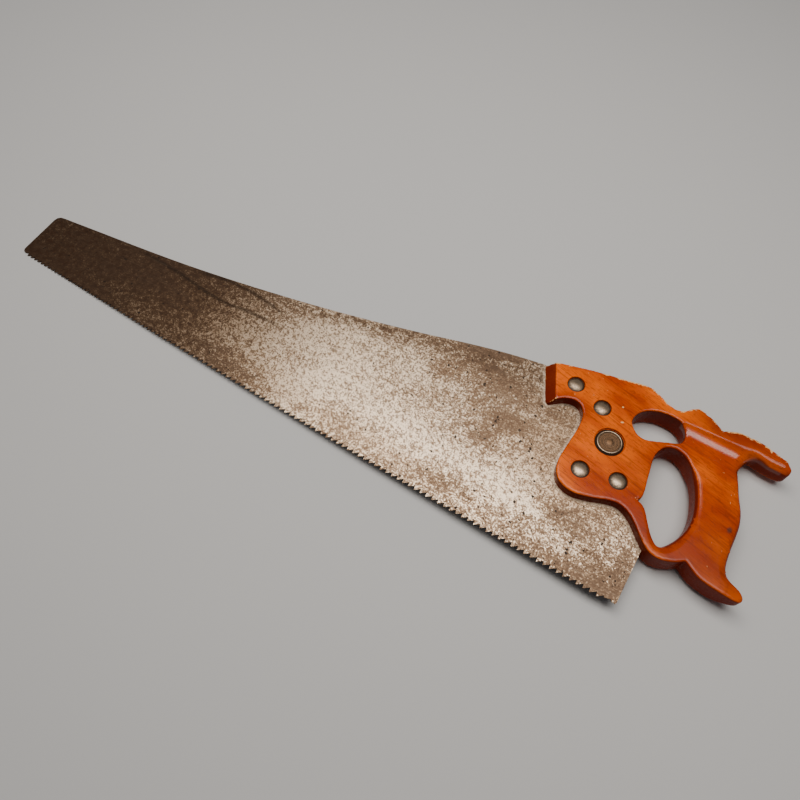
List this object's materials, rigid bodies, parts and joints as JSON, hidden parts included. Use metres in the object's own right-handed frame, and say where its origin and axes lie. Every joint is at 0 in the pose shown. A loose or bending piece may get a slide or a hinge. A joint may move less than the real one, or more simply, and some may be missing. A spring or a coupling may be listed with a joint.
{
  "type": "hand saw",
  "caption": "Rip hand saw: a tapered, rust-stained steel blade with hooked rip teeth, held in a slotted hardwood handle with a hand hole, thumb hole and horns by saw bolts and a medallion.",
  "frame": {"origin": "middle of the bounding box at the bottom: the plane of the right-hand cheek, on which the saw lies flat", "axes": "+X along the tooth line from the toe to the handle, +Y from the teeth to the back, +Z from the right-hand cheek to the left-hand cheek"},
  "size_m": [0.7524, 0.198, 0.0228],
  "materials": {
    "blade_steel": "old rolled steel, rust-brown towards the toe and worn bright in the middle, finely pitted",
    "handle_wood": "red-orange hardwood under old glossy varnish, chipped along its edges",
    "nickel_plate": "worn, dull nickel plating over brass",
    "badge_brass": "tarnished brown"
  },
  "bodies": {
    "root": {"blade": "blade_steel", "handle": "handle_wood", "nose_bolt": "nickel_plate", "nose_nut": "nickel_plate", "upper_bolt": "nickel_plate", "upper_nut": "nickel_plate", "front_bolt": "nickel_plate", "front_nut": "nickel_plate", "rear_bolt": "nickel_plate", "rear_nut": "nickel_plate", "medallion_bolt": "nickel_plate", "medallion_badge": "badge_brass", "medallion_nut": "nickel_plate"}
  },
  "joints": []
}
